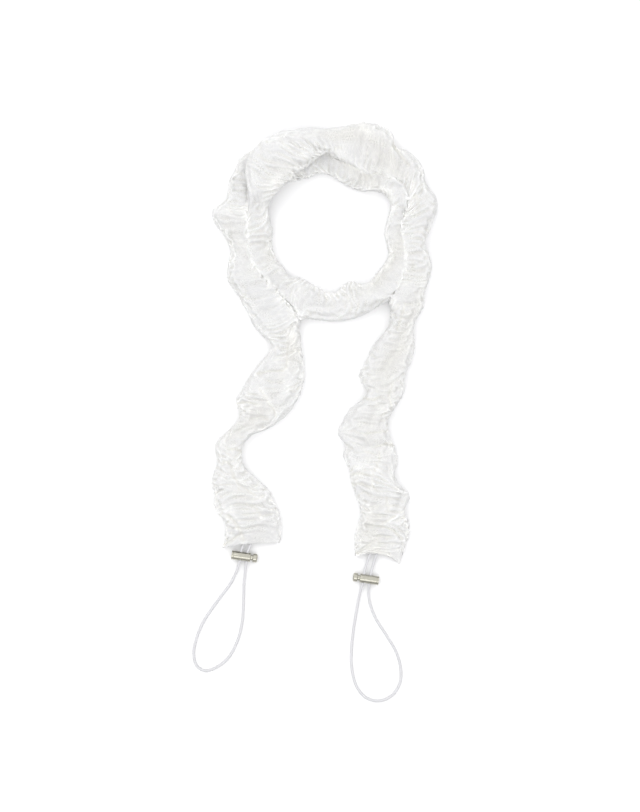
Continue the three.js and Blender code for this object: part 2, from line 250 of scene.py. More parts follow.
for side, lock in LOCKS.items():
    plan = LOOPS[side]
    heights = [CORD_REST_HEIGHT] * len(plan)
    for k, height in enumerate(SETTLING_HEIGHTS):
        heights[k] = heights[-1 - k] = height
    hole = lock["outer_hole"]
    points = [
        lock_point(lock, hole, FIT_GAP / 2),
        lock_point(lock, hole, BARREL_DIAMETER / 2),
        *[plan_point(x, y, height) for (x, y), height in zip(plan, heights)],
        lock_point(lock, -hole, BARREL_DIAMETER / 2),
        lock_point(lock, -hole, FIT_GAP / 2),
    ]
    route = smooth_route(points, 6)
    loop = cord_curve(f"elastic_loop_{side}", route, elastic)
    tuple(lock_point(lock, hole, BARREL_DIAMETER / 2))
    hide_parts(f"cord_loop_{side}")
    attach(loop, "root")

# Lace tube: one long tube of soft cotton-look lace, sewn with a lapped seam along its underside and bunched
# up on the cord, so that it lies in lobes with pleats across it. Each row below is a lobe, waist or turn, in
# millimetres: its outer edge and inner edge in plan, how thick the tube is there, and how far it is lifted.
LACE_ROWS = [
    (222, 548, 279, 543, 6.6, 0), (226, 535, 281, 530, 11, 0), (227, 524, 280, 517, 14, 0),
    (215, 508, 274, 504, 16, 0), (215, 493, 268, 491, 17, 0), (213, 479, 257, 480, 18, 0),
    (217, 462, 245, 467, 17, 0), (215, 447, 242, 455, 16, 0), (221, 437, 244, 445, 16, 0),
    (230, 428, 253, 435, 16, 0), (238, 420, 268, 429, 17, 0), (239, 409, 283, 418, 18, 0),
    (237, 399, 294, 404, 19, 0), (242, 391, 301, 390, 19, 0), (250, 378, 304, 376, 18, 0),
    (260, 364, 303, 359, 17, 0), (271, 350, 301, 345, 16, 0), (270, 341, 300, 333, 16, 0),
    (261, 334, 296, 320, 17, 0), (252, 322, 288, 307, 17, 0), (246, 309, 279.5, 296.5, 17, 0),
    (238, 295, 269, 286, 17, 0), (228, 280, 258.5, 275.5, 17, 0), (228, 265, 252, 263.5, 16, 0),
    (230, 250, 248, 250.5, 16, 0), (224, 236, 246, 237.5, 16, 0), (215, 223, 245.3, 224, 16, 0),
    (213, 211, 245.3, 213, 16, 0), (226, 201, 246, 203, 15, 0), (228, 189, 246.5, 193, 13.5, 0),
    (231, 178, 250, 185, 12, 0), (239, 166, 259, 179, 10.6, 0), (250, 157, 269, 177, 10.3, 0),
    (263, 151, 280, 177, 10.3, 0), (279, 147, 291, 175.5, 10.3, 0), (296, 146, 304, 173, 10.3, 0),
    (313, 149, 316, 173, 10.3, 0), (328, 158, 327, 174, 11, 0), (339, 164, 337, 180, 14, 0),
    (351, 169, 349, 187, 15, 0), (363, 174, 361, 191.5, 15, 0), (377, 177, 373, 191, 15, 0),
    (390, 180, 382.5, 193.5, 16, 0), (400, 186, 387.5, 198, 16, 0), (404.5, 197, 390, 205.5, 16, 0),
    (404, 211, 389, 213.5, 16, 0), (402, 223, 386, 223, 16, 0), (401, 234, 384, 234, 16, 0),
    (402, 246, 386.5, 245, 16, 0), (403.5, 258, 388.5, 255, 16, 0), (402, 270, 384, 263.5, 16, 0),
    (397, 283, 377, 272.5, 17, 0), (389, 295, 371, 280.5, 17, 0), (379, 306, 360, 284, 16, 0),
    (365, 315, 350, 282, 16, 0), (349, 320, 342, 287.5, 16, 0), (335, 321, 334, 292, 15, 0),
    (321, 320, 325, 291.5, 15, 0), (309, 318, 316, 286, 15, 0), (299.5, 315, 306, 281, 16, 0),
    (291, 303, 298, 277.5, 16, 0), (281.5, 292.5, 290.5, 277, 16, 0), (271.5, 282.5, 284.5, 268, 16, 0),
    (261.5, 272, 277.5, 260, 16, 0), (255, 261, 274, 252, 16, 0), (250.5, 248, 272, 243, 16, 0),
    (248.5, 235, 272, 232, 16, 1), (247.7, 222, 269.5, 219, 16, 3), (248.5, 209, 268.5, 207, 15, 7),
    (249, 197, 273, 198, 14, 12.6), (247.5, 184, 279, 191, 14, 13.8), (246.5, 172, 286, 184, 14, 14),
    (248.5, 161, 293, 178, 14, 14), (255, 151, 299, 172, 14, 14), (264, 142, 305, 168, 14, 14),
    (276, 136, 312, 163, 14, 14), (291, 132, 319, 158, 14, 13.8), (308, 129, 326, 155, 15, 11),
    (323, 129.5, 333, 156, 16, 5), (337, 128, 342, 161, 17, 2), (351, 126, 352, 166, 18, 0),
    (365, 123, 363, 171, 18, 0), (380, 126, 375, 173.5, 18, 0), (391, 133, 385.5, 176, 18, 0),
    (394, 145, 394, 179, 18, 0), (406, 151, 402, 184, 18, 0), (416, 159, 406.5, 192, 18, 0),
    (422.5, 170, 407.5, 201, 18, 0), (425, 184, 407, 208.5, 18, 0), (434, 196, 405.5, 214, 18, 0),
    (436.5, 207, 404.7, 220, 18, 0), (433, 222, 403.8, 227, 18, 0), (429, 233, 403.5, 236, 17, 0),
    (425, 243, 405, 247, 17, 0), (429, 256, 405.7, 257, 17, 0), (431, 268, 405.2, 268, 17, 0),
    (428, 281, 402.5, 279, 17, 0), (424, 294, 396, 292, 17, 0), (422, 309, 391.5, 308, 17, 0),
    (415, 322, 390, 321, 17, 0), (413, 334, 383, 333, 17, 0), (414, 344, 374, 345, 17, 0),
    (412, 357, 367, 360, 17, 0), (407, 371, 360.5, 374, 17, 0), (404, 381, 363, 384, 17, 0),
    (404.5, 390, 367, 392, 17, 0), (399, 401, 361, 401, 17, 0), (392, 411, 350, 409, 18, 0),
    (387.5, 422, 343, 422, 18, 0), (390, 438, 339.5, 434, 18, 0), (395, 449, 347, 447, 17, 0),
    (397, 462, 343.5, 457, 17, 0), (394.5, 477, 350, 470, 17, 0), (402, 489, 352, 482, 17, 0),
    (409, 496, 356, 495, 17, 0), (404.5, 510, 361, 508, 17, 0), (408.5, 524, 360, 521, 17, 0),
    (408, 536, 356.5, 534, 14, 0), (404, 549, 356, 546, 11, 0), (400, 564, 355.5, 557, 6.6, 0),
]

END_BOW = {"left": 2 * MM, "right": 7 * MM}
BOW_REACH = 8 * MM
END_FADE = 25 * MM
GATHERING = 1.32
CLOTH_STEP = 0.8 * MM
STRIPS_ROUND = 52
SEAM_LAP = 2.5 * MM
LAP_TURN = 0.07
LAP_LIFT = 0.35 * MM
TABLE_CLEARANCE = 0.25 * MM

# The tube's section: at which share of its height it is widest, and how full its sides, dome and foot are
WIDEST_AT = 0.42
ABOVE_WIDEST = 0.58
SIDE_FULLNESS = 0.8
DOME_FULLNESS = 0.85
FOOT_SLOPE = 1.7

# Puffs and crumples of the cloth: seed, length and height in millimetres, and how many sectors round the tube
PUFFS = [(11, 24, 2.2, 5), (12, 11, 1.2, 9)]
CRUMPLES = [(31, 6, 0.7, 14), (32, 3.4, 0.5, 26)]
PLEAT_PITCH = 6.2 * MM
FIRST_PLEAT_HEIGHT = 0.5 * MM
LONG_CREASE_WIDTH = 0.03
LONG_CREASE_DEPTH = 2.2 * MM

# Where two strands lie side by side, each spreads and squares up against the other, unless one is lifted
ANOTHER_STRAND = 70 * MM
PRESS_REACH = 11 * MM
PRESS_EASE = 5 * MM
PRESS_SPREAD = 4.4 * MM
PRESS_SQUARENESS = 0.6
CLEAR_LIFT = 8 * MM


def through(columns, t):
    """Values on a smooth curve through the rows, at row numbers t."""
    k = np.clip(np.floor(t).astype(int), 0, len(columns) - 2)
    u = (t - k)[:, None]
    first = 2 * columns[0] - columns[1]
    last = 2 * columns[-1] - columns[-2]
    padded = np.vstack([first, columns, last])
    a, b, c, d = (padded[k + i] for i in range(4))
    bend = 2 * a - 5 * b + 4 * c - d
    twist = 3 * b - a - 3 * c + d
    return 0.5 * (2 * b + (c - a) * u + bend * u**2 + twist * u**3)


def wander(seed, along, around, cell, sectors):
    """Smooth random values from -1 to 1 over the tube, in cells so long and so many sectors round it."""
    table = np.random.default_rng(seed).uniform(-1, 1, (int(np.max(along) / cell) + 3, sectors))
    a, b = along / cell, around * sectors
    i, j = np.floor(a).astype(int), np.floor(b).astype(int)
    fa, fb = a - i, b - j
    fa, fb = fa * fa * (3 - 2 * fa), fb * fb * (3 - 2 * fb)
    here = table[i, j % sectors] * (1 - fa) + table[i + 1, j % sectors] * fa
    beside = table[i, (j + 1) % sectors] * (1 - fa) + table[i + 1, (j + 1) % sectors] * fa
    return here * (1 - fb) + beside * fb


rows = np.array(
    [
        [*plan_point(x1, y1)[:2], *plan_point(x2, y2)[:2], thickness * MM, lifted * MM]
        for x1, y1, x2, y2, thickness, lifted in LACE_ROWS
    ]
)
fine = np.linspace(0, len(rows) - 1, 12 * len(rows))
fine_rows = through(rows, fine)
middle = (fine_rows[:, 0:2] + fine_rows[:, 2:4]) / 2
run = np.concatenate([[0], np.cumsum(np.linalg.norm(np.diff(middle, axis=0), axis=1))])
tube_length = run[-1]
count_along = int(tube_length / CLOTH_STEP)
stations = np.linspace(0, tube_length, count_along + 1)
sections = through(rows, np.interp(stations, run, fine))
outer_edge, inner_edge = sections[:, 0:2], sections[:, 2:4]
rise, lift = sections[:, 4], np.maximum(sections[:, 5], 0)

# Round the tube from the seam under it, and a little past the seam again where the edges lap
turns = np.linspace(0, 1, STRIPS_ROUND + 1)
angle = -math.pi / 2 + (2 * math.pi + LAP_TURN) * turns + 0.3 * np.sin(2 * math.pi * turns)
across = np.sign(np.cos(angle)) * np.abs(np.cos(angle)) ** SIDE_FULLNESS
upward = np.sin(angle)
dome = WIDEST_AT + ABOVE_WIDEST * np.maximum(upward, 0) ** DOME_FULLNESS
foot = WIDEST_AT * (1 - np.minimum(1, -upward * FOOT_SLOPE))
height = np.where(upward > 0, dome, foot)

half = (inner_edge - outer_edge) / 2
half_width = np.linalg.norm(half, axis=1)
sideways = half / half_width[:, None]
travel = np.stack([-sideways[:, 1], sideways[:, 0]], axis=1)
centre = (inner_edge + outer_edge) / 2
fade = np.clip(np.minimum(stations, tube_length - stations) / END_FADE, 0, 1)
bow = END_BOW["left"] * np.exp(-stations / BOW_REACH)
bow -= END_BOW["right"] * np.exp(-(tube_length - stations) / BOW_REACH)

s, v = np.meshgrid(stations, turns, indexing="ij")
puffs = sum(wander(seed, s, v, cell * MM, sectors) * high * MM for seed, cell, high, sectors in PUFFS)
crumple = sum(wander(seed, s, v, cell * MM, sectors) * high * MM for seed, cell, high, sectors in CRUMPLES)
top_side = np.clip(height - WIDEST_AT, 0, 1)[None, :] / ABOVE_WIDEST

# One long crease that comes and goes along the top
straight = np.zeros_like(stations)
slow_sway = wander(13, stations, straight, 55 * MM, 1)
quick_sway = wander(14, stations, straight, 16 * MM, 1)
crease_turn = 0.5 + 0.09 * slow_sway + 0.035 * quick_sway
from_crease = (v - crease_turn[:, None]) / LONG_CREASE_WIDTH
crease = np.exp(-from_crease * from_crease) * np.clip(0.5 + 1.2 * wander(15, s, v, 30 * MM, 1), 0, 1)

# Low first pleats in patches, which the gathering then deepens
phase = s / PLEAT_PITCH + 1.3 * wander(21, s, v, 26 * MM, 4) + 0.6 * wander(22, s, v, 9 * MM, 9)
patches = np.clip(0.5 + 0.9 * wander(23, s, v, 15 * MM, 6), 0.05, 1)
seed_fold = FIRST_PLEAT_HEIGHT * np.sin(2 * math.pi * phase) * patches

edges = np.vstack([outer_edge, inner_edge])
far_along = np.abs(stations[:, None] - np.tile(stations, 2)[None, :]) > ANOTHER_STRAND
pressed = []
for edge in (outer_edge, inner_edge):
    gap = np.linalg.norm(edge[:, None, :] - edges[None, :, :], axis=2)
    nearest_strand = np.min(np.where(far_along, gap, 1.0), axis=1)
    pressed.append(np.clip((PRESS_REACH - nearest_strand) / PRESS_EASE, 0, 1))
pressed_side = np.where(across[None, :] < 0, pressed[0][:, None], pressed[1][:, None])
pressed_side = pressed_side * np.clip(1 - lift / CLEAR_LIFT, 0, 1)[:, None]
squared = np.sign(across)[None, :] * np.abs(across)[None, :] ** (1 - PRESS_SQUARENESS * pressed_side)
reach = half_width[:, None] + 0.35 * puffs + 0.6 * seed_fold + PRESS_SPREAD * pressed_side
flat_place = centre[:, None, :] + sideways[:, None, :] * (squared * reach)[:, :, None]
flat_place += travel[:, None, :] * (bow[:, None] * (1 - across[None, :] ** 2))[:, :, None]
flat_place += travel[:, None, :] * (0.5 * crumple)[:, :, None]
top = rise[:, None] + (puffs + seed_fold + crumple - LONG_CREASE_DEPTH * crease) * top_side * fade[:, None]

# Deep creases of the cloth as it lies, with a low roll beside each: points in plan, half width and depth in
# millimetres, and then how many half widths the crease and its roll reach and how high the roll is
CREASES = [
    ([(387.3, 497), (388.2, 503), (388, 511)], 1.0, 4.0),
    ([(395, 515.5), (389, 520), (382, 523)], 1.2, 3.5),
    ([(366, 525), (378, 525.8), (386, 526.5), (394, 530), (402, 539)], 1.2, 3.5),
    ([(382, 534), (375, 540), (367, 546), (358, 553)], 1.3, 3.5),
    ([(378, 552), (379, 545), (377, 536)], 1.5, 2.5),
    ([(379.5, 452), (379.5, 460), (377, 467), (372.6, 477), (371, 485), (377, 491.5)], 1.1, 3.2),
    ([(366, 434), (376, 432.5), (386, 431)], 1.2, 2.4),
    ([(353, 474), (362, 473), (370, 476)], 1.1, 2.0),
    ([(353, 484), (361, 483.5), (369, 487)], 1.1, 2.0),
    ([(376, 447), (385, 444), (392, 445)], 1.2, 2.2),
    ([(392, 385), (389, 395), (391, 404)], 1.1, 2.4),
    ([(362, 398), (372, 400), (380, 397)], 1.2, 2.0),
    ([(259, 390), (266.5, 398.5), (274.5, 409), (276, 416)], 1.1, 3.4),
    ([(288.7, 340), (287.5, 352), (287, 368)], 1.0, 3.2),
    ([(258, 374), (268, 371.5), (284, 371)], 1.2, 2.4),
    ([(240, 403), (248, 402), (256, 404)], 1.1, 2.4),
    ([(251, 419), (260, 416), (268, 419)], 1.5, 2.6),
    ([(229, 450), (236, 449), (243, 452)], 1.3, 2.6),
    ([(228, 462), (232, 468), (233, 478)], 1.3, 2.6),
    ([(241, 485), (247, 489), (256, 495)], 1.1, 3.0),
    ([(234, 473), (239, 482), (238, 492)], 1.2, 2.4),
    ([(252, 505), (260, 510), (262, 518)], 1.1, 2.6),
    ([(228, 515), (234, 521), (240, 530), (243, 541)], 1.4, 3.0),
    ([(224.5, 544.5), (231, 541), (240, 534)], 1.3, 2.4),
    ([(336, 149.5), (350, 149), (373, 151)], 1.3, 3.0),
    ([(262, 300), (272, 308), (283, 322)], 1.1, 2.6),
    ([(250, 282), (256, 292), (266, 303)], 1.1, 2.4),
    ([(392, 145), (399, 154), (409, 165)], 1.2, 2.6),
    ([(414, 190), (420, 200), (421, 214)], 1.2, 2.6),
    ([(412, 240), (414, 256), (411, 270)], 1.1, 2.4),
    ([(405, 300), (401, 316), (397, 330)], 1.2, 2.6),
]
CREASE_REACH = 1.3
ROLL_REACH = 3.6
ROLL_HEIGHT = 0.35


def nearness(places, route, falloff):
    """How near each place is to a route in plan: 1 on it, and less over the distance falloff."""
    nearest = np.full(places.shape[:-1], np.inf)
    for start, end in zip(route, route[1:]):
        a, b = (np.array(plan_point(*point)[:2]) for point in (start, end))
        share = np.clip(((places - a) @ (b - a)) / ((b - a) @ (b - a)), 0, 1)
        foot = a + share[..., None] * (b - a)
        nearest = np.minimum(nearest, np.linalg.norm(places - foot, axis=-1))
    return np.exp(-((nearest / falloff) ** 2))


drawn_crease = np.zeros_like(s)
for route, half_crease, depth in CREASES:
    narrow = nearness(flat_place, route, half_crease * MM * CREASE_REACH)
    wide = nearness(flat_place, route, half_crease * MM * ROLL_REACH)
    drawn_crease = np.maximum(drawn_crease, narrow)
    top -= (depth * narrow - ROLL_HEIGHT * depth * wide) * MM * np.minimum(top_side * 2, 1)

z = lift[:, None] + TABLE_CLEARANCE + height[None, :] * top
z[:, -1] += LAP_LIFT
places = np.dstack([flat_place, z])

girth = np.linalg.norm(np.diff(places, axis=1), axis=2).sum(axis=1)
cut_width = float(np.mean(girth)) + SEAM_LAP
cut_length = tube_length * GATHERING

bm = bmesh.new()
bmesh.ops.create_grid(bm, x_segments=count_along, y_segments=STRIPS_ROUND, size=0.5)
uv = bm.loops.layers.uv.new("cloth")
bm.verts.ensure_lookup_table()
across_cut = np.array([vert.co.y + 0.5 for vert in bm.verts])
along_cut = np.array([vert.co.x + 0.5 for vert in bm.verts])
row_of = np.rint(along_cut * count_along).astype(int)
strip_of = np.rint(across_cut * STRIPS_ROUND).astype(int)
for face in bm.faces:
    for loop in face.loops:
        loop[uv].uv = ((loop.vert.co.x + 0.5) * cut_length, (loop.vert.co.y + 0.5) * cut_width)


# The cut length is longer than the cord that it is bunched on, so the cloth throws itself into pleats. Each
# round pulls every thread towards its cut length, takes out folds that are too sharp for the cloth, and
# holds it near the tube's own form and off the table.
BUNCHING_ROUNDS = 200
PULL_SHARE = 0.6
STIFFNESS_ALONG = 0.16
STIFFNESS_AROUND = 0.12
WIDTH_EASE = 1.05
FOLD_LIMIT = 3 * MM
TOP_HOLD = 0.015
CREASE_HOLD = 0.06
PRESSED_HOLD = 0.04
SIDE_HOLD = 0.05
UNDERSIDE_HOLD = 0.05
SEAM_HOLD = 0.4
END_HOLD = 0.5


def pull(points, rest, first):
    """Bring every second pair of neighbours along the first axis, from the first on, closer to rest apart."""
    upto = (len(points) - first) // 2 * 2 + first
    ends_a, ends_b = points[first:upto:2], points[first + 1 : upto : 2]
    apart = ends_b - ends_a
    length = np.linalg.norm(apart, axis=-1, keepdims=True)
    shift = apart * (0.5 * PULL_SHARE * (1 - rest[first : upto - 1 : 2] / np.maximum(length, 1e-6)))
    ends_a += shift
    ends_b -= shift


def unbend(points, form, stiffness):
    """Take out what is sharply bent in the points' way off their form, along the first axis."""
    fold = points - form
    bent_by = fold[1:-1] - (fold[:-2] + fold[2:]) / 2
    points[2:-2] -= stiffness * (bent_by[1:-1] - (bent_by[:-2] + bent_by[2:]) / 2)


gather_here = 1 + 0.24 * wander(51, s, v, 22 * MM, 4) + 0.12 * wander(52, s, v, 9 * MM, 8)
gather_here *= GATHERING / gather_here.mean()
rest_along = (tube_length / count_along * gather_here[:-1])[:, :, None]
rest_around = np.repeat(girth[:, None] / STRIPS_ROUND * WIDTH_EASE, STRIPS_ROUND, axis=1)[:, :, None]
from_top = np.abs(v - 0.5)
hold = TOP_HOLD + CREASE_HOLD * np.maximum(crease, drawn_crease) + PRESSED_HOLD * pressed_side
hold += SIDE_HOLD * np.abs(across) ** 4
hold = np.where(from_top > 0.42, UNDERSIDE_HOLD, hold)
hold = np.where(from_top > 0.47, SEAM_HOLD, hold)
hold = np.maximum(hold, END_HOLD * (1 - fade[:, None]) ** 2)[:, :, None]
cloth = places.copy()
for _ in range(BUNCHING_ROUNDS):
    cloth += hold * (places - cloth)
    unbend(cloth, places, STIFFNESS_ALONG)
    unbend(cloth, places, STIFFNESS_ALONG)
    unbend(cloth.swapaxes(0, 1), places.swapaxes(0, 1), STIFFNESS_AROUND)
    for first in (0, 1):
        pull(cloth, rest_along, first)
        pull(cloth.swapaxes(0, 1), rest_around.swapaxes(0, 1), first)
    cloth[:, :, 2] = np.maximum(cloth[:, :, 2], TABLE_CLEARANCE)

moved = cloth - places
distance = np.linalg.norm(moved, axis=2, keepdims=True)
cloth = places + moved * np.minimum(1, FOLD_LIMIT / np.maximum(distance, 1e-9))
cloth[:, :, 2] = np.maximum(cloth[:, :, 2], TABLE_CLEARANCE)
for vert, place in zip(bm.verts, cloth[row_of, strip_of]):
    vert.co = place

# White raschel lace knitted from soft cotton-look yarn: a six-sided net strewn with small solid dots, and in
# it flowers with an eyelet in each petal between heavier cords. Sizes are in millimetres. The real net is
# finer and more open. It is drawn coarser and part open, to show in a near view and be even in a far one.
NET_PITCH = 1.25
NET_OPENING = 0.09
EYELET_OPENING = 0.17
DOT_PITCH = 4.2
DOT_EDGE = (0.9, 0.5)
FLOWER_PITCH = 10.5
WEB_EDGE = (0.7, 0.3)
WEB_COVER = 0.6
FLOWER_RADIUS = 4.4
PETAL_TIP = 0.76 * FLOWER_RADIUS
PETAL_SWING = 0.22 * FLOWER_RADIUS
EYELET_RADIUS = 0.56 * FLOWER_RADIUS
THROUGH_LIGHT = 0.12
FLAT = {"voronoi_dimensions": "2D"}
MATH = "ShaderNodeMath"
VECTOR_MATH = "ShaderNodeVectorMath"
MAP_RANGE = "ShaderNodeMapRange"
SMOOTH = {"interpolation_type": "SMOOTHSTEP"}
lace_cloth, tree, output = new_material("white raschel lace")
cloth_map = add_node(tree, "ShaderNodeUVMap", {"uv_map": "cloth"})
in_mm = add_node(tree, "ShaderNodeMapping", None, {"Vector": cloth_map, "Scale": (1 / MM, 1 / MM, 1)})
bend = add_node(tree, "ShaderNodeTexNoise", None, {"Vector": in_mm, "Scale": 0.08, "Detail": 1.0})
bent = add_node(
    tree, VECTOR_MATH, {"operation": "MULTIPLY_ADD"}, {0: bend.outputs["Color"], 1: (5, 5, 0), 2: in_mm}
)

# The net: three sets of waves at sixty degrees leave round holes in a six-sided pattern
wave_number = 4 * math.pi / (math.sqrt(3) * NET_PITCH)
waves = []
for heading in (0, math.pi / 3, 2 * math.pi / 3):
    direction = (wave_number * math.cos(heading), wave_number * math.sin(heading), 0)
    distance_along = add_node(tree, VECTOR_MATH, {"operation": "DOT_PRODUCT"}, {0: in_mm, 1: direction})
    waves.append(add_node(tree, MATH, {"operation": "COSINE"}, {0: distance_along.outputs["Value"]}))
two_waves = add_node(tree, MATH, {"operation": "ADD"}, {0: waves[0], 1: waves[1]})
net = add_node(tree, MATH, {"operation": "ADD"}, {0: two_waves, 1: waves[2]})
net_hole = add_node(tree, MAP_RANGE, SMOOTH, {0: net, 1: 0.0, 2: 1.1})

# The dots and the cords between the flowers
dot_cells = {"Vector": bent, "Randomness": 0.8, "Scale": 1 / DOT_PITCH}
dots = add_node(tree, "ShaderNodeTexVoronoi", FLAT, dot_cells)
outer, inner = DOT_EDGE
dot = add_node(tree, MAP_RANGE, SMOOTH, {0: dots, 1: outer / DOT_PITCH, 2: inner / DOT_PITCH})
flower_cells = {"Vector": bent, "Randomness": 0.8, "Scale": 1 / FLOWER_PITCH}
web = add_node(tree, "ShaderNodeTexVoronoi", {**FLAT, "feature": "DISTANCE_TO_EDGE"}, flower_cells)
outer, inner = WEB_EDGE
web_cord = add_node(
    tree, MAP_RANGE, SMOOTH, {0: web, 1: outer / FLOWER_PITCH, 2: inner / FLOWER_PITCH, 4: WEB_COVER}
)

# The flowers: each cell has its own turn, size and number of petals
cells = add_node(tree, "ShaderNodeTexVoronoi", FLAT, flower_cells)
chance = add_node(tree, "ShaderNodeSeparateXYZ", None, {0: cells.outputs["Color"]}).outputs
from_heart = add_node(tree, VECTOR_MATH, {"operation": "SUBTRACT"}, {0: bent, 1: cells.outputs["Position"]})
heart_split = add_node(tree, "ShaderNodeSeparateXYZ", None, {0: from_heart}).outputs
true_radius = add_node(tree, VECTOR_MATH, {"operation": "LENGTH"}, {0: from_heart})
size = add_node(tree, MAP_RANGE, None, {0: chance["Y"], 3: 0.8, 4: 1.25})
radius = add_node(tree, MATH, {"operation": "DIVIDE"}, {0: true_radius.outputs["Value"], 1: size})
heading = add_node(tree, MATH, {"operation": "ARCTAN2"}, {0: heart_split["Y"], 1: heart_split["X"]})
petal_range = add_node(tree, MAP_RANGE, None, {0: chance["Z"], 3: 4.6, 4: 7.4})
petal_count = add_node(tree, MATH, {"operation": "ROUND"}, {0: petal_range})
turned = add_node(tree, MATH, {"operation": "MULTIPLY_ADD"}, {0: heading, 1: petal_count, 2: chance["X"]})
petal_wave = add_node(tree, MATH, {"operation": "COSINE"}, {0: turned})
petal_reach = add_node(
    tree, MATH, {"operation": "MULTIPLY_ADD"}, {0: petal_wave, 1: PETAL_SWING, 2: PETAL_TIP}
)
inside_petal = add_node(tree, MATH, {"operation": "SUBTRACT"}, {0: petal_reach, 1: radius})
petal = add_node(tree, MAP_RANGE, SMOOTH, {0: inside_petal, 1: -0.2, 2: 0.3})
petal_middle = add_node(tree, MAP_RANGE, SMOOTH, {0: inside_petal, 1: 0.5, 2: 1.1})
petal_rim = add_node(tree, MATH, {"operation": "SUBTRACT"}, {0: petal, 1: petal_middle})

# An eyelet in each petal and one in the heart, some of them worked over
down_petal = add_node(tree, MATH, {"operation": "SUBTRACT"}, {0: radius, 1: EYELET_RADIUS})
off_middle = add_node(tree, MATH, {"operation": "ABSOLUTE"}, {0: down_petal})
petal_long = add_node(tree, MAP_RANGE, SMOOTH, {0: off_middle, 1: 1.35, 2: 0.8})
petal_narrow = add_node(tree, MAP_RANGE, SMOOTH, {0: petal_wave, 1: 0.0, 2: 0.7})
petal_eyelet = add_node(tree, MATH, {"operation": "MULTIPLY"}, {0: petal_long, 1: petal_narrow})
heart_eyelet = add_node(tree, MAP_RANGE, SMOOTH, {0: radius, 1: 1.0, 2: 0.5})
any_eyelet = add_node(tree, MATH, {"operation": "MAXIMUM"}, {0: petal_eyelet, 1: heart_eyelet})
some = add_node(tree, "ShaderNodeTexNoise", None, {"Vector": in_mm, "Scale": 0.06, "Detail": 2.0})
some_open = add_node(tree, MAP_RANGE, SMOOTH, {0: some, 1: 0.36, 2: 0.56, 3: 0.2})
eyelet = add_node(tree, MATH, {"operation": "MULTIPLY"}, {0: any_eyelet, 1: some_open})

dot_or_cord = add_node(tree, MATH, {"operation": "MAXIMUM"}, {0: dot, 1: web_cord})
solid_area = add_node(tree, MATH, {"operation": "MAXIMUM"}, {0: dot_or_cord, 1: petal})
not_solid = add_node(tree, MATH, {"operation": "SUBTRACT"}, {0: 1.0, 1: solid_area})
open_net = add_node(tree, MATH, {"operation": "MULTIPLY"}, {0: net_hole, 1: not_solid})
net_opening = add_node(tree, MATH, {"operation": "MULTIPLY"}, {0: open_net, 1: NET_OPENING})
opening = add_node(tree, MATH, {"operation": "MULTIPLY_ADD"}, {0: eyelet, 1: EYELET_OPENING, 2: net_opening})
cover = add_node(tree, MATH, {"operation": "SUBTRACT"}, {0: 1.0, 1: opening})

# Relief: flat net threads, thicker petals, and the cords and rims standing highest
threads = add_node(tree, MAP_RANGE, None, {0: open_net, 3: 0.22, 4: 0.0})
thick = add_node(tree, MATH, {"operation": "MULTIPLY"}, {0: solid_area, 1: 0.6})
standing = add_node(tree, MATH, {"operation": "MAXIMUM"}, {0: petal_rim, 1: dot_or_cord})
knitted = add_node(tree, MATH, {"operation": "MAXIMUM"}, {0: threads, 1: thick})
raised = add_node(tree, MATH, {"operation": "MAXIMUM"}, {0: knitted, 1: standing})
holed = add_node(tree, MATH, {"operation": "MULTIPLY_ADD"}, {0: eyelet, 1: -0.6, 2: raised})
yarn = add_node(tree, "ShaderNodeTexNoise", None, {"Vector": in_mm, "Scale": 1.4, "Detail": 3.0})
surface = add_node(tree, MATH, {"operation": "MULTIPLY_ADD"}, {0: yarn, 1: 0.3, 2: holed})
relief = add_node(tree, "ShaderNodeBump", None, {"Height": surface, "Strength": 0.22, "Distance": 0.3 * MM})

# Colour: neutral white, with creamier painted shade down in the folds, where only light from other cloth
# comes
fold_shade_in = add_node(tree, "ShaderNodeAttribute", {"attribute_name": "painted_fold_shade"})
colours = {"data_type": "RGBA"}
# The net is painted a touch greyer than the solid parts, as shade from the darker inside that shows through
# it
tone = add_node(tree, "ShaderNodeMix", colours, {0: solid_area, 6: srgb("#e1e1e1"), 7: srgb("#e7e7e6")})
# Painted shade for the folds: white where the cloth is open to the light, down to a creamy grey deepest in a
# fold
fold_shade_ramp = add_node(tree, "ShaderNodeValToRGB", None, {"Fac": fold_shade_in.outputs["Fac"]})
fold_shade_ramp.color_ramp.elements[0].color = srgb("#ffffff")
fold_shade_ramp.color_ramp.elements[1].color = srgb("#e8e7df")
half_shade = fold_shade_ramp.color_ramp.elements.new(0.5)
half_shade.color = srgb("#faf9f5")
tone_and_fold_shade = add_node(
    tree, "ShaderNodeMix", {**colours, "blend_type": "MULTIPLY"}, {0: 1.0, 6: tone.outputs[2], 7: fold_shade_ramp}
).outputs[2]
shader = add_node(
    tree,
    "ShaderNodeBsdfPrincipled",
    {"subsurface_method": "BURLEY"},
    {
        "Base Color": tone_and_fold_shade,
        "Roughness": 0.85,
        "Sheen Weight": 0.1,
        "Sheen Roughness": 0.5,
        "Subsurface Weight": 0.75,
        "Subsurface Scale": 2.6 * MM,
        "Subsurface Radius": (1.0, 1.0, 0.95),
        "Normal": relief,
    },
)
through_light = add_node(tree, "ShaderNodeBsdfTranslucent", None, {"Color": tone_and_fold_shade, "Normal": relief})
cloth_shader = add_node(tree, "ShaderNodeMixShader", None, {0: THROUGH_LIGHT, 1: shader, 2: through_light})
clear = add_node(tree, "ShaderNodeBsdfTransparent")
lace_shader = add_node(tree, "ShaderNodeMixShader", None, {0: cover, 1: clear, 2: cloth_shader})
tree.links.new(lace_shader.outputs["Shader"], output.inputs["Surface"])

# Painted shade for the folds, by how deep each place lies in a fold: in a drawn crease, near the long crease,
# or in the valley between two pleats, which is how far it lies inside the mean of the cloth around it
LEVEL_STATIONS = 4
DEEP_VALLEY = 0.7 * MM
CORE_HEIGHT = 0.4
CREASE_SIDES = 0.14
CREASE_SHADE = 0.6
LONG_CREASE_SHADE = 0.45
VALLEY_SHADE = 0.4

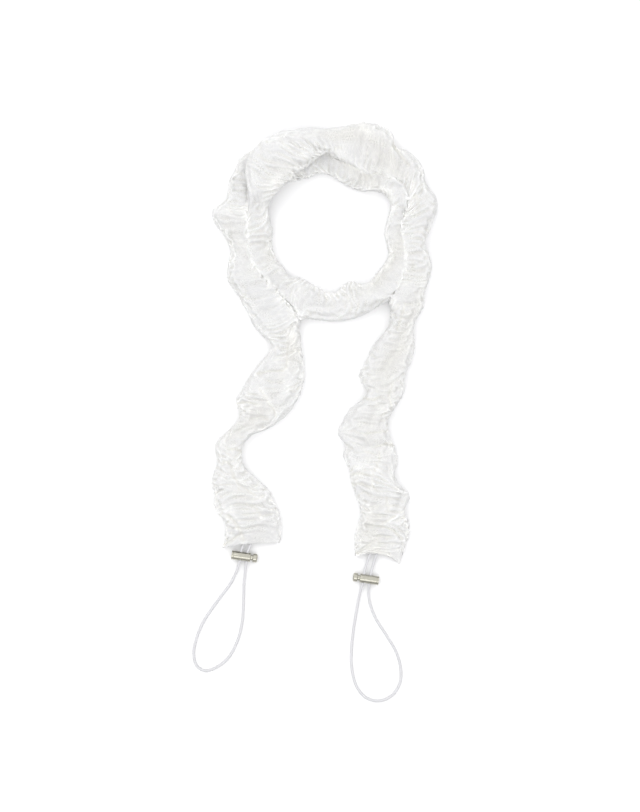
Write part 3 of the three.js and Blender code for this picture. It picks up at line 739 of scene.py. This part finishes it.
lace = place_mesh("lace_cloth", bm, lace_cloth)
near_crease = np.exp(-(((v - crease_turn[:, None]) / CREASE_SIDES) ** 2))
long_crease_shade = near_crease * np.clip(0.3 + wander(41, s, v, 45 * MM, 3), 0, 1)
padded = np.pad(cloth, ((LEVEL_STATIONS, LEVEL_STATIONS), (0, 0), (0, 0)), mode="edge")
window = 2 * LEVEL_STATIONS + 1
level = sum(padded[k : k + len(cloth)] for k in range(window)) / window
core = np.dstack([centre[:, :1] + 0 * v, centre[:, 1:] + 0 * v, (lift + CORE_HEIGHT * rise)[:, None] + 0 * v])
outward = (cloth - core) / np.linalg.norm(cloth - core, axis=2, keepdims=True)
valley = np.clip(((level - cloth) * outward).sum(axis=2) / DEEP_VALLEY, 0, 1)
# Painted shade is strongest in the drawn creases, and softer along the long crease and in the valleys between
# pleats
shade_amounts = [CREASE_SHADE * drawn_crease, LONG_CREASE_SHADE * long_crease_shade, VALLEY_SHADE * valley]
shade_here = np.max(shade_amounts, axis=0)[row_of, strip_of]
painted_fold_shade = lace.data.attributes.new("painted_fold_shade", "FLOAT", "POINT")
painted_fold_shade.data.foreach_set("value", shade_here.astype(np.float32))
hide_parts("lace_tube")
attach(lace, "root")

# Draw cords: from each lock the two runs of the same cord go up into the lace tube, keep beside its middle
# line all the way round, and come out at the other lock. The lace is bunched up on them.
RUN_SPACING = 4.4 * MM
RUN_HEIGHT = 0.46
LEAD_LENGTH = 20 * MM
LEAD_START = BARREL_DIAMETER / 2 + 1 * MM
CORD_LEAN = 1.8 * MM
LEAD_ROWS = 4
RUN_STATION_STEP = 10 * MM

run_count = 2 * round(tube_length / (2 * RUN_STATION_STEP))
run_rows = through(rows, np.interp(np.linspace(0, tube_length, run_count + 1), run, fine))
run_middle = [
    Vector(((x1 + x2) / 2, (y1 + y2) / 2, max(0, lifted) + RUN_HEIGHT * thickness))
    for x1, y1, x2, y2, thickness, lifted in run_rows
]
for name, beside in (("outer", -1), ("inner", 1)):
    hole = beside * CORD_SPACING / 2
    inside = []
    for k in range(LEAD_ROWS, run_count + 1 - LEAD_ROWS):
        ahead = run_middle[k + 1] - run_middle[k - 1]
        sidestep = Vector((ahead.y, -ahead.x, 0)).normalized() * (beside * RUN_SPACING / 2)
        inside.append(run_middle[k] + sidestep)
    points = [
        lock_point(LOCKS["left"], hole, -FIT_GAP / 2),
        lock_point(LOCKS["left"], hole, -LEAD_START),
        lock_point(LOCKS["left"], hole + CORD_LEAN, -LEAD_LENGTH),
        *inside,
        lock_point(LOCKS["right"], hole - CORD_LEAN, -LEAD_LENGTH),
        lock_point(LOCKS["right"], hole, -LEAD_START),
        lock_point(LOCKS["right"], hole, -FIT_GAP / 2),
    ]
    draw_cord = cord_curve(f"elastic_run_{name}", smooth_route(points, 3), elastic)
    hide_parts(f"draw_cord_{name}")
    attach(draw_cord, "root")

# Lock barrels: small tubes turned from brass rod and nickel plated, closed at one end behind a fine groove.
# A slot through the barrel lets both runs of the cord pass side by side.
SLOT_HEIGHT = CORD_DIAMETER + 2 * FIT_GAP
SLOT_END = CORD_SPACING / 2 + CORD_DIAMETER / 2 + FIT_GAP
SLOT_SLACK = 0.4 * MM
BARREL_LENGTH = 19 * MM
BORE_DIAMETER = 6.2 * MM
PRESS_TRAVEL = 1.8 * MM
BARREL_MOUTH = SLOT_END + PRESS_TRAVEL
BARREL_FOOT = BARREL_MOUTH - BARREL_LENGTH
RIM_WIDTH = 1.7 * MM
GROOVE_WIDTH = 0.5 * MM
GROOVE_DEPTH = 0.4 * MM
BORE_FLOOR = 1.2 * MM
RIM_ROUND = 0.12 * MM
FACETS = 64


def lock_matrix(lock):
    """Where a lock lies, with its own X along the barrel towards the button."""
    place = Matrix.Translation(plan_point(*lock["plan"], LOCK_AXIS_HEIGHT))
    return place @ Matrix.Rotation(lock["turn"], 4, "Z")


def turned_piece(profile):
    """A profile of (along, radius) spun round the X axis into one closed solid."""
    bm = bmesh.new()
    corners = [bm.verts.new((along, 0, radius)) for along, radius in profile]
    edges = [bm.edges.new(pair) for pair in zip(corners, corners[1:])]
    bmesh.ops.spin(
        bm,
        geom=corners + edges,
        axis=(1, 0, 0),
        cent=(0, 0, 0),
        angle=2 * math.pi,
        steps=FACETS,
        use_merge=True,
    )
    bmesh.ops.remove_doubles(bm, verts=bm.verts, dist=1e-6)
    bmesh.ops.recalc_face_normals(bm, faces=bm.faces)
    return bm


def round_rims(bm, width, least=math.radians(50)):
    """Round the turned rims, which are the rings of a spun piece that are sharper than least."""
    rims = [edge for edge in bm.edges if edge.is_manifold and edge.calc_face_angle() > least]
    bmesh.ops.bevel(
        bm,
        geom=rims,
        offset=width,
        offset_type="OFFSET",
        affect="EDGES",
        segments=3,
        profile=0.5,
        material=-1,
    )


def slot_cutter(low, high):
    """A bar with round ends along Y, to cut the cord slot from low to high along the lock."""
    bm = bmesh.new()
    bmesh.ops.create_circle(bm, segments=32, radius=SLOT_HEIGHT / 2, cap_ends=True)
    for vert in bm.verts:
        end = high - SLOT_HEIGHT / 2 if vert.co.x > 0 else low + SLOT_HEIGHT / 2
        vert.co = (vert.co.x + end, -BARREL_DIAMETER, vert.co.y)
    face = bmesh.ops.extrude_face_region(bm, geom=list(bm.faces))
    raised = [item for item in face["geom"] if isinstance(item, bmesh.types.BMVert)]
    bmesh.ops.translate(bm, verts=raised, vec=(0, 2 * BARREL_DIAMETER, 0))
    bmesh.ops.recalc_face_normals(bm, faces=bm.faces)
    return bm


def cut_and_place(name, bm, cutter_bm, lock, material):
    """Cut the slot, put the piece in its lock's place and shade its sharp edges sharp."""
    solid = place_mesh(name, bm, material)
    cutter = place_mesh(f"{name}_cutter", cutter_bm, material)
    cut = solid.modifiers.new("slot", "BOOLEAN")
    cut.operation = "DIFFERENCE"
    cut.solver = "EXACT"
    cut.object = cutter
    result = bpy.data.meshes.new_from_object(solid.evaluated_get(bpy.context.evaluated_depsgraph_get()))
    solid.modifiers.clear()
    solid.data = result
    bpy.data.objects.remove(cutter)
    result.transform(lock_matrix(lock))
    result.polygons.foreach_set("use_smooth", [True] * len(result.polygons))
    result.set_sharp_from_angle(angle=math.radians(35))
    return solid


# Bright nickel over turned brass: a warm grey mirror, a little broken up by the rings that the tool left
RING_SPACING = 0.35 * MM
SPOT_SIZE = 2.5 * MM
LOCKS_TURN = math.radians(-8.4)
nickel, tree, output = new_material("nickel plated turned brass")
place = add_node(tree, "ShaderNodeTexCoord").outputs["Object"]
along_lock = add_node(
    tree, "ShaderNodeMapping", {"vector_type": "TEXTURE"}, {"Vector": place, "Rotation": (0, 0, LOCKS_TURN)}
)
rings = add_node(tree, "ShaderNodeMapping", None, {"Vector": along_lock, "Scale": (1 / RING_SPACING, 20, 20)})
ring_noise = add_node(tree, "ShaderNodeTexNoise", None, {"Vector": rings, "Scale": 1.0, "Detail": 3})
spots = add_node(tree, "ShaderNodeTexNoise", None, {"Vector": place, "Scale": 1 / SPOT_SIZE, "Detail": 4})
tone = add_node(tree, "ShaderNodeValToRGB", None, {"Fac": spots})
tone.color_ramp.elements[0].color = srgb("#afada1")
tone.color_ramp.elements[1].color = srgb("#c3c1b5")
polish = add_node(
    tree,
    "ShaderNodeMapRange",
    None,
    {"Value": ring_noise, "From Min": 0.3, "From Max": 0.7, "To Min": 0.13, "To Max": 0.19},
)
relief = add_node(
    tree, "ShaderNodeBump", None, {"Height": ring_noise, "Strength": 0.06, "Distance": 0.02 * MM}
)
shader = add_node(
    tree,
    "ShaderNodeBsdfPrincipled",
    None,
    {"Base Color": tone, "Metallic": 1.0, "Roughness": polish, "Normal": relief},
)
tree.links.new(shader.outputs["BSDF"], output.inputs["Surface"])

outside = BARREL_DIAMETER / 2
bore = BORE_DIAMETER / 2
barrel_profile = [
    (BARREL_FOOT, 0),
    (BARREL_FOOT, outside),
    (BARREL_FOOT + RIM_WIDTH, outside),
    (BARREL_FOOT + RIM_WIDTH, outside - GROOVE_DEPTH),
    (BARREL_FOOT + RIM_WIDTH + GROOVE_WIDTH, outside - GROOVE_DEPTH),
    (BARREL_FOOT + RIM_WIDTH + GROOVE_WIDTH, outside),
    (BARREL_MOUTH, outside),
    (BARREL_MOUTH, bore),
    (BARREL_FOOT + BORE_FLOOR, bore),
    (BARREL_FOOT + BORE_FLOOR, 0),
]
for side, lock in LOCKS.items():
    bm = turned_piece(barrel_profile)
    round_rims(bm, RIM_ROUND)
    cutter = slot_cutter(-SLOT_END - SLOT_SLACK, SLOT_END + SLOT_SLACK)
    barrel = cut_and_place(f"barrel_{side}", bm, cutter, lock, nickel)
    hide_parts(f"lock_barrel_{side}")
    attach(barrel, "root")

# Lock buttons: a stem with the same slot and a round knob in front, turned in one piece and nickel plated.
# A spring in the barrel pushes the stem out, so that it pinches the cords against the barrel's slot.
STEM_DIAMETER = 5.6 * MM
STEM_TAIL = 3 * MM
KNOB_DIAMETER = 8.8 * MM
KNOB_LENGTH = 4.8 * MM
NECK_LENGTH = 2.4 * MM
KNOB_FOOT = BARREL_MOUTH + NECK_LENGTH
KNOB_END = KNOB_FOOT + KNOB_LENGTH
KNOB_CHAMFER = 0.5 * MM
KNOB_ROUND = 0.15 * MM

# The knob's front, as millimetres back from its end and in from its side: rounded over to a shallow dish
KNOB_FRONT = [(1.1, 0), (0.3, 0.7), (0, 1.5), (0.35, 2.1)]
DISH_DEPTH = 0.5 * MM

stem = STEM_DIAMETER / 2
knob = KNOB_DIAMETER / 2
button_profile = [
    (-SLOT_END - STEM_TAIL, 0),
    (-SLOT_END - STEM_TAIL, stem),
    (KNOB_FOOT, stem),
    (KNOB_FOOT, knob - KNOB_CHAMFER),
    (KNOB_FOOT + KNOB_CHAMFER, knob),
    *[(KNOB_END - back * MM, knob - inwards * MM) for back, inwards in KNOB_FRONT],
    (KNOB_END - DISH_DEPTH, 0),
]
for side, lock in LOCKS.items():
    bm = turned_piece(button_profile)
    round_rims(bm, KNOB_ROUND, least=math.radians(25))
    button = cut_and_place(f"button_{side}", bm, slot_cutter(-SLOT_END, BARREL_MOUTH), lock, nickel)
    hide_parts(f"lock_plunger_{side}")
    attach(button, f"plunger_{side}")
